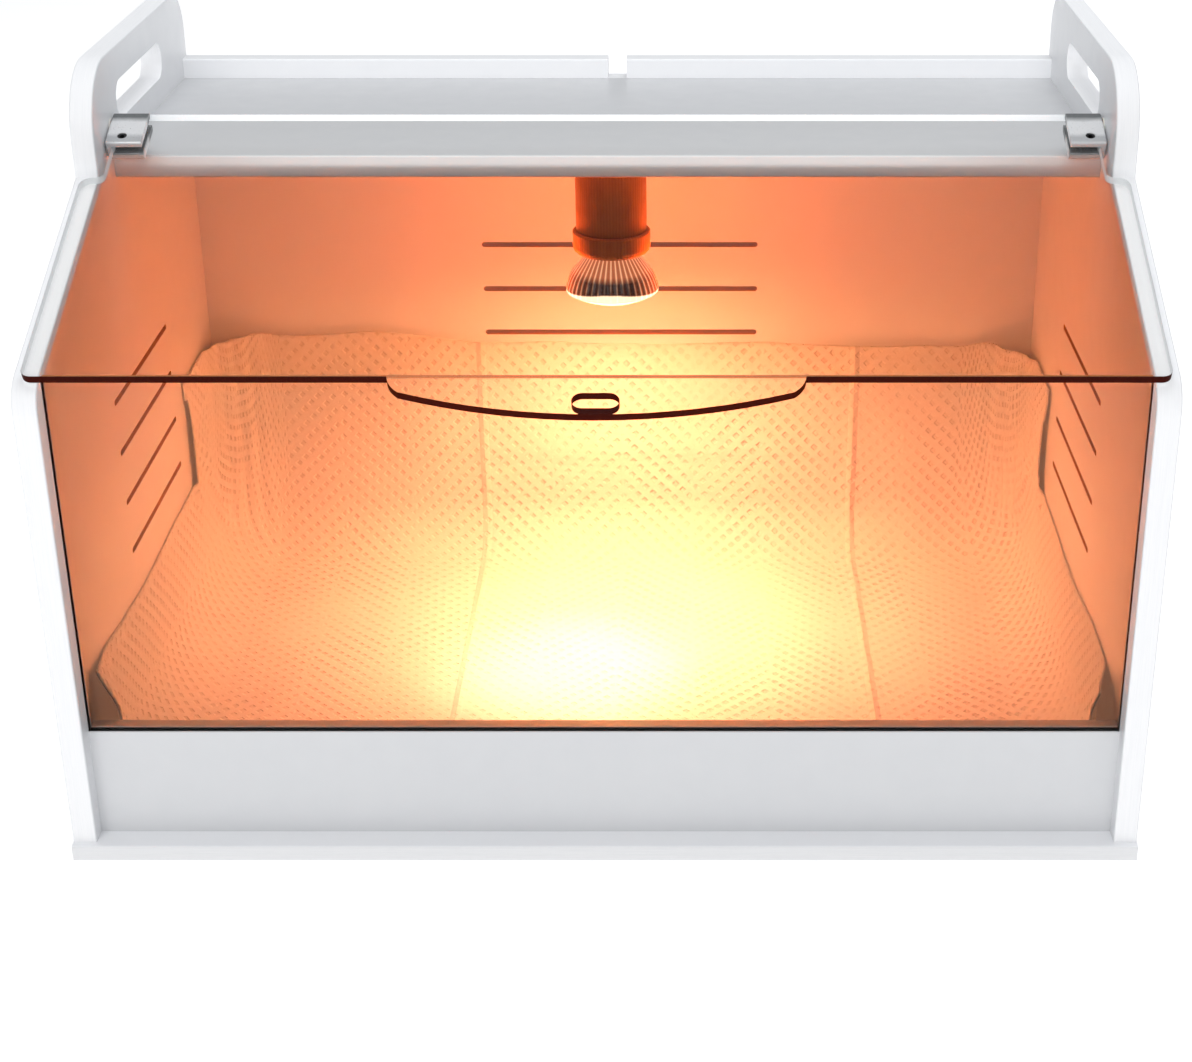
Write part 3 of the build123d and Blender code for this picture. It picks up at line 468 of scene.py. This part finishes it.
paint("lead_wires filament", metal("tungsten", (0.42, 0.40, 0.38), (0.25, 0.24, 0.23), 0.34))


# ---------------------------------------------------------------- new pieces
def new_object(name, mesh, mat, body, slot, *replaced):
    """Smooth object that rides on a body and stands for the CAD nodes it replaces."""
    mesh.validate()
    obj = bpy.data.objects.new(name, mesh)
    bpy.context.scene.collection.objects.link(obj)
    mesh.materials.append(mat)
    for polygon in mesh.polygons:
        polygon.use_smooth = True
    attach(obj, body)
    if replaced:
        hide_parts(*replaced)
    return obj


def grid_faces(rows, columns, closed):
    """Quads of a grid; closed joins the last column to the first."""
    faces = []
    for i in range(rows - 1):
        here = i * columns
        above = here + columns
        for j in range(columns if closed else columns - 1):
            k = (j + 1) % columns
            faces.append((here + j, here + k, above + k, above + j))
    return faces


def ease(value, low, high):
    """0 below low, 1 above high, and a smooth ramp between."""
    f = max(0.0, min(1.0, (value - low) / (high - low)))
    return f * f * (3 - 2 * f)


def ripple(x, y, seed, scale):
    """Smooth noise over the flat cloth, from about -1 to 1."""
    return noise.noise(Vector((x * scale, y * scale, seed)))


def sheet_top(s, t):
    """Height of the cloth's upper edge: low along the sides, high at the back and round its corners."""
    wing_y, side_top, back_top = 0.087, 0.089, 0.1495
    if t < wing_y + 0.004 * ripple(s, t, 4.0, 30):
        return side_top + 0.007 * ripple(s, t, 6.0, 11) - 0.004 * ease(s, 0.0, 0.2)
    return back_top + 0.0065 * ease(-s, 0.05, 0.16) + 0.003 * ripple(s, t, 2.0, 16)


def gusset(side, t, z):
    """Depth of the slanting fold at a rear corner of the cloth, which runs from (y0, z0) to (y1, z1)."""
    depth, half_width = 0.0035, 0.010
    y0, z0, y1, z1 = (0.085, 0.127, 0.150, 0.024) if side < 0 else (0.095, 0.125, 0.158, 0.030)
    length = math.hypot(y1 - y0, z1 - z0)
    off = abs((t - y0) * (z1 - z0) - (z - z0) * (y1 - y0)) / length
    along = ((t - y0) * (y1 - y0) + (z - z0) * (z1 - z0)) / length ** 2
    return depth * max(0.0, 1 - off / half_width) * ease(along, 0.15, 0.40) * ease(-along, -1.1, -0.8)


def floor_sheet():
    """The floor cloth: flat in the middle, curved up the side walls and higher up the back wall.

    s and t run across the flat cloth from the middle of the cabinet; each point beyond the flat middle is
    carried along a bend and then up the wall, and is drawn inwards there by the cloth's folds.
    """
    lo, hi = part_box("floor_liner")
    floor_z = lo.z + 0.0001
    wall_x = hi.x - 0.0008
    back_y = hi.y - 0.0008
    front_y = lo.y + 0.0004
    bend = 0.034
    corner = 0.008
    cell = 0.003
    quarter = math.pi / 2 * bend
    flap = 0.162
    reach = quarter + flap - bend
    middle_x = wall_x - bend - corner
    middle_y = back_y - bend - corner
    half = middle_x + corner + reach
    rear = middle_y + corner + reach
    rows = int((rear - front_y) / cell) + 1
    columns = int(2 * half / cell) + 1
    places, flats, gone = [], [], set()
    for i in range(rows):
        t = front_y + (rear - front_y) * i / (rows - 1)
        for j in range(columns):
            s = half * (2 * j / (columns - 1) - 1)
            mid = Vector((max(-middle_x, min(middle_x, s)), min(middle_y, t)))
            out = Vector((s, t)) - mid
            way = out.normalized()
            beyond = max(0.0, out.length - corner)
            turn = min(beyond, quarter) / bend
            push = bend * math.sin(turn)
            z = bend * (1 - math.cos(turn)) + max(0.0, beyond - quarter)
            top = sheet_top(s, t) - floor_z
            if z > top + 1.45 * cell:
                gone.add(len(places))
            z = min(z, top)
            angle = math.atan2(way.y, abs(way.x)) if way.y > 0 else 0.0
            folds = math.sin(2 * angle) ** 2 * (1 + math.sin(angle * 22 + 2 * s)) * 0.0009
            slack = max(0.0, ripple(s, t, 8.0, 9) + 0.55) * 0.0045
            lean = ease(z, 0.0, 0.09) * slack * ease(angle, 0.3, 1.4)
            wing = 0.0010 * ease(z, 0.058, 0.068) * ease(t, 0.084, 0.089)
            lean -= 0.0019 * ease(z, top - 0.030, top)
            near_front = ease(-t, -front_y - 0.034, -front_y)
            lean_in = 0.0105 * near_front * ease(z, 0.006, 0.040) * (1 - 0.8 * ease(z, 0.060, 0.090))
            crease = 0.0014 * max(math.exp(-abs(s - fold) / 0.006) for fold in FOLD_X)
            inward = folds + lean + wing + lean_in + gusset(s, t, z)
            inward += crease if t > middle_y else 0.0
            push -= inward * ease(beyond, 0.0, quarter)
            if out.length > corner:
                x, y = mid + way * (corner + push)
            else:
                x, y = s, t
            swell = ripple(s, t, 0.4, 22) + 0.5 * ripple(s, t, 5.0, 60)
            z += max(0.0, swell + 0.35) * 0.0007 + crease * (1 - ease(beyond, 0.0, bend))
            flats.append((s, t))
            places.append((x, y, floor_z + z))
    faces = [f for f in grid_faces(rows, columns, False) if not gone.intersection(f)]
    mesh = bpy.data.meshes.new("floor_cloth")
    mesh.from_pydata(places, [], faces)
    layer = mesh.uv_layers.new(name="flat")
    for loop in mesh.loops:
        layer.data[loop.index].uv = flats[loop.vertex_index]
    shape = bmesh.new()
    shape.from_mesh(mesh)
    bmesh.ops.delete(shape, geom=[v for v in shape.verts if not v.link_faces], context="VERTS")
    bmesh.ops.remove_doubles(shape, verts=shape.verts, dist=0.0003)
    shape.to_mesh(mesh)
    shape.free()
    obj = new_object("floor_cloth", mesh, liner_finish(), "cabinet", "liner_cloth", "floor_liner")
    plies = obj.modifiers.new("thickness", "SOLIDIFY")
    plies.thickness = 0.0008
    plies.offset = 1.0


def smooth_profile(points, steps):
    """Points along a Catmull-Rom curve through (radius, height) pairs."""
    out = []
    for k in range(len(points) - 1):
        a = points[max(0, k - 1)]
        b, c = points[k], points[k + 1]
        d = points[min(len(points) - 1, k + 2)]
        for n in range(steps):
            f = n / steps
            out.append(tuple(0.5 * (2 * b[m] + (c[m] - a[m]) * f
                                    + (2 * a[m] - 5 * b[m] + 4 * c[m] - d[m]) * f * f
                                    + (3 * b[m] - a[m] - 3 * c[m] + d[m]) * f ** 3) for m in (0, 1)))
    out.append(points[-1])
    return out


def lathe(name, profile, axis_y, segments, shape=None):
    """Mesh turned about the lamp's axis; shape(angle, radius, height) may change the radius."""
    places = []
    for r, z in profile:
        for n in range(segments):
            a = 2 * math.pi * n / segments
            q = shape(a, r, z) if shape else r
            places.append((q * math.cos(a), axis_y + q * math.sin(a), z))
    mesh = bpy.data.meshes.new(name)
    mesh.from_pydata(places, [], grid_faces(len(profile), segments, True))
    return mesh


def ribbed_reflector(axis_y):
    """Pressed glass reflector: a plain rim, a ribbed skirt and a smooth shoulder."""
    lo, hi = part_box("bulb_reflector")
    rim = hi.x
    base = lo.z
    outer = [(rim, base), (rim - 0.0001, base + 0.0035), (rim - 0.0027, base + 0.0100),
             (rim - 0.0073, base + 0.0162), (rim - 0.0111, base + 0.0212), (rim - 0.0130, base + 0.0250),
             (rim - 0.0132, base + 0.0275)]
    outside = smooth_profile(outer, 8)
    inside = [(r - 0.0011, z) for r, z in reversed(outside)]
    profile = outside + inside + [outside[0]]

    def shape(angle, r, z):
        start = max(0.0, min(1.0, (z - base - 0.0022) / 0.001))
        end = max(0.0, min(1.0, (base + 0.0152 - z) / 0.003))
        return r - 0.00045 * start * end * (0.5 - 0.5 * math.cos(RIBS * angle))

    mesh = lathe("ribbed_reflector", profile, axis_y, RIBS * 10, shape)
    new_object("ribbed_reflector", mesh, reflector_finish(axis_y), "bulb", "reflector_glass",
               "bulb_reflector")


def front_glass(axis_y):
    """Domed lens with rings of pressed prisms."""
    lo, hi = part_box("bulb_lens")
    rim = hi.x
    drop = 0.007
    rim_z = lo.z + drop
    radius = (rim ** 2 + drop ** 2) / (2 * drop)
    rings = 60
    pole = 1e-6
    profile = []
    for k in range(rings + 1):
        r = rim * k / rings
        dimple = 0.00022 * (0.5 - 0.5 * math.cos(r / 0.0021 * 2 * math.pi)) * (1 if r < rim - 0.003 else 0)
        dome = rim_z + math.sqrt(radius ** 2 - rim ** 2) - math.sqrt(radius ** 2 - r ** 2)
        profile.append((max(r, pole), dome + dimple))
    inner = [(max(r - 0.0011, pole), z + 0.0014) for r, z in reversed(profile)]
    profile = profile + inner
    mesh = lathe("front_glass", profile, axis_y, 144)
    new_object("front_glass", mesh, lens_finish(axis_y), "bulb", "lens_glass", "bulb_lens")


floor_sheet()
ribbed_reflector(LAMP_Y)
front_glass(LAMP_Y)


# ---------------------------------------------------------------- stage, lights and camera
def plane(name, corners, mat):
    """Flat studio piece."""
    mesh = bpy.data.meshes.new(name)
    mesh.from_pydata(corners, [], [tuple(range(len(corners)))])
    obj = bpy.data.objects.new(name, mesh)
    bpy.context.scene.collection.objects.link(obj)
    mesh.materials.append(mat)
    return obj


def flag(name, corners):
    """Studio flag: keeps the soft boxes out of the lit chamber, and isn't seen itself."""
    t = Tree(name)
    black = t.principled(Base_Color=(0.0, 0.0, 0.0), Specular_IOR_Level=0.0)
    obj = plane(name, corners, t.show(black.outputs[0]))
    obj.visible_camera = False
    obj.visible_glossy = False
    obj.visible_transmission = False
    return obj


spread = 14.0
plane("studio_floor",
      [(-spread, -spread, 0), (spread, -spread, 0), (spread, spread, 0), (-spread, spread, 0)],
      floor_finish())
window_lo, window_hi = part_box("front_window")
top_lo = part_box("top_board")[0]
flag_y = (window_hi.y + 0.0005, top_lo.y - 0.014)
flag("window_flag", [(x, flag_y[0], z) for x, z in ((window_lo.x, window_lo.z), (window_hi.x, window_lo.z),
                                                    (window_hi.x, window_hi.z - 0.004),
                                                    (window_lo.x, window_hi.z - 0.004))])


def under_lid(y):
    """Height just under the closed lid at a given Y."""
    return window_hi.z - 0.0035 + (y - window_lo.y) * math.tan(SLOPE)


flag("lid_flag", [(x, y, under_lid(y)) for x, y in ((window_lo.x, flag_y[0]), (window_hi.x, flag_y[0]),
                                                    (window_hi.x, flag_y[1]), (window_lo.x, flag_y[1]))])


def light(name, kind, place, target, power, colour, seen=True, **props):
    """Light aimed at a point; one that isn't seen lights surfaces but shows in no mirror or pane."""
    data = bpy.data.lights.new(name, kind)
    data.energy = power
    data.color = colour
    for key, value in props.items():
        setattr(data, key, value)
    obj = bpy.data.objects.new(name, data)
    bpy.context.scene.collection.objects.link(obj)
    obj.location = place
    obj.rotation_euler = (Vector(target) - Vector(place)).to_track_quat("-Z", "Y").to_euler()
    if not seen:
        obj.visible_camera = False
        obj.visible_glossy = False
        obj.visible_transmission = False
    return obj


centre = (0.0, 0.0, 0.18)
cool = (0.96, 0.98, 1.0)
light("front_box", "AREA", (-0.5, -2.3, 1.5), centre, 23.0, (1.0, 0.995, 0.985),
      shape="RECTANGLE", size=2.2, size_y=1.4)
top_box = light("top_box", "AREA", (0.2, 0.3, 2.4), centre, 25.0, cool,
                shape="RECTANGLE", size=2.0, size_y=2.0)
rear_box = light("rear_box", "AREA", (0.9, 2.2, 1.2), centre, 8.0, cool,
                 shape="RECTANGLE", size=1.6, size_y=1.2)
top_box.visible_glossy = False
rear_box.visible_glossy = False
light("rear_key", "SPOT", (0.0, -0.55, 0.50), (0.0, 0.17, 0.325), 5.0, (1.0, 1.0, 1.0), seen=False,
      spot_size=math.radians(50), spot_blend=0.5, shadow_soft_size=0.05)

lens_lo, lens_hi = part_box("bulb_lens")
under = (0.0, LAMP_Y, lens_lo.z - 0.004)
light("lamp_core", "SPOT", under, (-0.030, LAMP_Y - 0.045, 0.0), 3.4, (1.0, 0.45, 0.28),
      spot_size=math.radians(46), spot_blend=1.0, shadow_soft_size=0.016)
light("lamp_beam", "SPOT", under, (0.004, LAMP_Y + 0.040, 0.0), 10.0, (1.0, 0.285, 0.125),
      spot_size=math.radians(130), spot_blend=1.0, shadow_soft_size=0.016)
light("lamp_spill", "SPOT", under, (0.0, LAMP_Y, 0.0), 0.72, (1.0, 0.60, 0.20),
      spot_size=math.radians(176), spot_blend=0.35, shadow_soft_size=0.018)
for side in (-1, 1):
    light(f"lamp_glow_{side}", "POINT", (side * 0.036, LAMP_Y, lens_hi.z + 0.004), under, 0.45,
          (1.0, 0.14, 0.02), seen=False, shadow_soft_size=0.010)

for obj in list(bpy.context.scene.objects):
    if obj.name.startswith("lamp_"):
        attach(obj, "bulb_tip")

world = bpy.data.worlds.new("studio")
world.use_nodes = True
world.node_tree.nodes["Background"].inputs[0].default_value = (0.95, 0.97, 1.0, 1.0)
world.node_tree.nodes["Background"].inputs[1].default_value = 0.40
bpy.context.scene.world = world

# The camera's place, angle and lens come from a fit to the cabinet's main edges.
camera = bpy.data.cameras.new("camera")
camera.sensor_width = 36.0
camera.lens = 64.33
camera.shift_x = -0.0771
camera.clip_start = 0.01
camera_object = bpy.data.objects.new("camera", camera)
bpy.context.scene.collection.objects.link(camera_object)
camera_object.location = (0.0420, -1.0915, 0.6122)
camera_object.rotation_euler = (math.radians(90 - 25.185), 0.0, 0.0)
bpy.context.scene.camera = camera_object
bpy.context.scene.view_settings.view_transform = "Standard"
